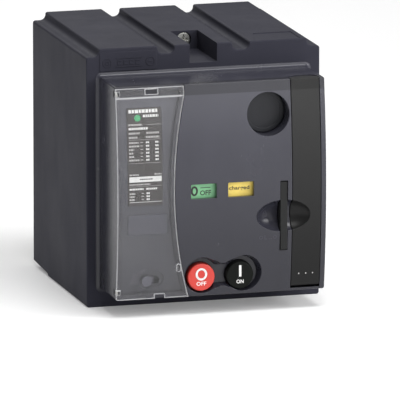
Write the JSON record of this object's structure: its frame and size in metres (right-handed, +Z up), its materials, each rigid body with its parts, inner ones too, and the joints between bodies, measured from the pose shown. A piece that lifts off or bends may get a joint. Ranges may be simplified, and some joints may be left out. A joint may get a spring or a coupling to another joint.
{
  "type": "circuit breaker operating module",
  "caption": "Boxy ribbed motor-operator module with a bulged nose, charging lever, push buttons, flag windows, padlock tab and hinged clear cover; bolts to a breaker's front.",
  "frame": {"origin": "centre of the rear mounting face", "axes": "+X to the right seen from the front, +Y from the front to the rear mounting face, +Z up; front faces -Y"},
  "size_m": [0.14, 0.1607, 0.152],
  "materials": {
    "housing_plastic": "fine spark-eroded grain",
    "panel_plastic": "satin",
    "dark_plastic": "satin",
    "lever_plastic": "semi-gloss",
    "black_plastic": "satin",
    "red_plastic": "semi-gloss",
    "clear_plastic": "clear moulded polycarbonate",
    "label_film": "printed film",
    "green_flag": "printed",
    "yellow_flag": "printed",
    "zinc_steel": "zinc plated",
    "machined_steel": "machined and oiled",
    "spring_steel": "drawn wire",
    "motor_steel": "drawn can",
    "bronze": "sintered",
    "white_print": "printed ink",
    "black_print": "printed ink",
    "board_laminate": "solder mask"
  },
  "bodies": {
    "housing": {"rear_housing": "housing_plastic", "top_fixing_screw": "zinc_steel", "base_plate": "zinc_steel", "plate_screws": "zinc_steel", "front_cover": "housing_plastic", "cover_screws": "zinc_steel", "cover_hinge_pins": "zinc_steel", "rating_label": "label_film", "counter_blank": "panel_plastic", "mode_switch": "dark_plastic", "keylock_blank": "dark_plastic", "button_bracket": "dark_plastic", "microswitches": "dark_plastic", "off_button_spring": "spring_steel", "on_button_spring": "spring_steel", "flag_guide": "dark_plastic", "lever_pin": "machined_steel", "lever_return_spring": "spring_steel", "input_axle": "machined_steel", "motor_can": "motor_steel", "motor_end_cap": "dark_plastic", "guide_rods": "machined_steel", "lower_cross_member": "zinc_steel", "upper_cross_member": "zinc_steel", "closing_spring_left": "spring_steel", "closing_spring_right": "spring_steel", "frame_plate_left": "zinc_steel", "frame_plate_right": "zinc_steel", "bearing_bushes": "bronze", "frame_spacers": "machined_steel", "frame_screws": "zinc_steel", "circuit_board": "board_laminate", "board_posts": "dark_plastic", "board_components": "dark_plastic"},
    "cover": {"clear_cover": "clear_plastic"},
    "lever": {"charging_lever": "lever_plastic", "lever_sector": "machined_steel"},
    "charge_shaft": {"charge_pinion": "machined_steel", "pawl_carrier": "zinc_steel", "pawl_pin": "machined_steel"},
    "pawl": {"drive_pawl": "machined_steel"},
    "ratchet": {"ratchet_gear": "machined_steel", "ratchet_wheel": "machined_steel"},
    "middle_shaft": {"intermediate_gear": "machined_steel", "intermediate_pinion": "machined_steel", "intermediate_shaft": "machined_steel"},
    "motor_rotor": {"motor_pinion": "bronze", "motor_shaft": "machined_steel"},
    "drive": {"drive_gear": "machined_steel", "rack_pinion": "machined_steel", "drive_shaft": "machined_steel"},
    "carriage": {"toggle_carriage": "zinc_steel", "rack": "machined_steel"},
    "flag_position": {"position_flag": "green_flag"},
    "flag_charge": {"charge_flag": "yellow_flag"},
    "button_off": {"off_button": "red_plastic"},
    "button_on": {"on_button": "black_plastic"},
    "mode": {"mode_knob": "black_plastic"},
    "tab": {"padlock_tab": "black_plastic"}
  },
  "joints": [
    {"name": "carriage_slide", "type": "slide", "parent": "housing", "child": "carriage", "axis": [0, 0, 1], "range_m": [0, 0.044], "deforming": ["closing_spring_left", "closing_spring_right"]},
    {"name": "drive_spin", "type": "hinge", "parent": "housing", "child": "drive", "pos_m": [0, -0.04943, 0], "axis": [1, 0, 0], "range_deg": [0, 181]},
    {"name": "middle_spin", "type": "hinge", "parent": "housing", "child": "middle_shaft", "pos_m": [0, -0.08635, -0.00657], "axis": [1, 0, 0], "range_deg": [-464, 0]},
    {"name": "ratchet_spin", "type": "hinge", "parent": "housing", "child": "ratchet", "pos_m": [0, -0.1231, -0.0253], "axis": [1, 0, 0], "range_deg": [0, 1236]},
    {"name": "motor_spin", "type": "hinge", "parent": "housing", "child": "motor_rotor", "pos_m": [0, -0.08994, 0.03075], "axis": [1, 0, 0], "range_deg": [0, 1854]},
    {"name": "position_flag_slide", "type": "slide", "parent": "housing", "child": "flag_position", "axis": [0, 0, 1], "range_m": [0, 0.0101]},
    {"name": "charge_flag_slide", "type": "slide", "parent": "housing", "child": "flag_charge", "axis": [0, 0, 1], "range_m": [0, 0.0101]},
    {"name": "lever_hinge", "type": "hinge", "parent": "housing", "child": "lever", "pos_m": [0.0505, -0.1528, -0.055], "axis": [1, 0, 0], "range_deg": [0, 50], "stiffness_Nm_per_rad": 0.15, "springref_deg": -20.05},
    {"name": "charge_shaft_spin", "type": "hinge", "parent": "housing", "child": "charge_shaft", "pos_m": [0, -0.1231, -0.0253], "axis": [1, 0, 0], "range_deg": [-125.5, 0.5]},
    {"name": "pawl_hinge", "type": "hinge", "parent": "charge_shaft", "child": "pawl", "pos_m": [0, -0.13523, -0.0183], "axis": [1, 0, 0], "range_deg": [-9, 0]},
    {"name": "cover_hinge", "type": "hinge", "parent": "housing", "child": "cover", "pos_m": [-0.061, -0.1525, 0], "axis": [0, 0, -1], "range_deg": [0, 95]},
    {"name": "off_button_press", "type": "slide", "parent": "housing", "child": "button_off", "axis": [0, 1, 0], "range_m": [0, 0.004], "stiffness_N_per_m": 400, "springref_m": -0.002, "deforming": ["off_button_spring"]},
    {"name": "on_button_press", "type": "slide", "parent": "housing", "child": "button_on", "axis": [0, 1, 0], "range_m": [0, 0.004], "stiffness_N_per_m": 400, "springref_m": -0.002, "deforming": ["on_button_spring"]},
    {"name": "mode_knob_slide", "type": "slide", "parent": "housing", "child": "mode", "axis": [1, 0, 0], "range_m": [0, 0.0058]},
    {"name": "padlock_tab_slide", "type": "slide", "parent": "housing", "child": "tab", "axis": [0, -1, 0], "range_m": [0, 0.016]}
  ],
  "couplings": [
    {"joint": "drive_spin", "follows": "carriage_slide", "rad_per_m": 71.429},
    {"joint": "middle_spin", "follows": "carriage_slide", "rad_per_m": -183.67},
    {"joint": "ratchet_spin", "follows": "carriage_slide", "rad_per_m": 489.8},
    {"joint": "motor_spin", "follows": "carriage_slide", "rad_per_m": 734.69},
    {"joint": "position_flag_slide", "follows": "carriage_slide", "ratio": 0.22727},
    {"joint": "charge_flag_slide", "follows": "carriage_slide", "ratio": 0.22727},
    {"joint": "charge_shaft_spin", "follows": "lever_hinge", "ratio": -2.5}
  ]
}
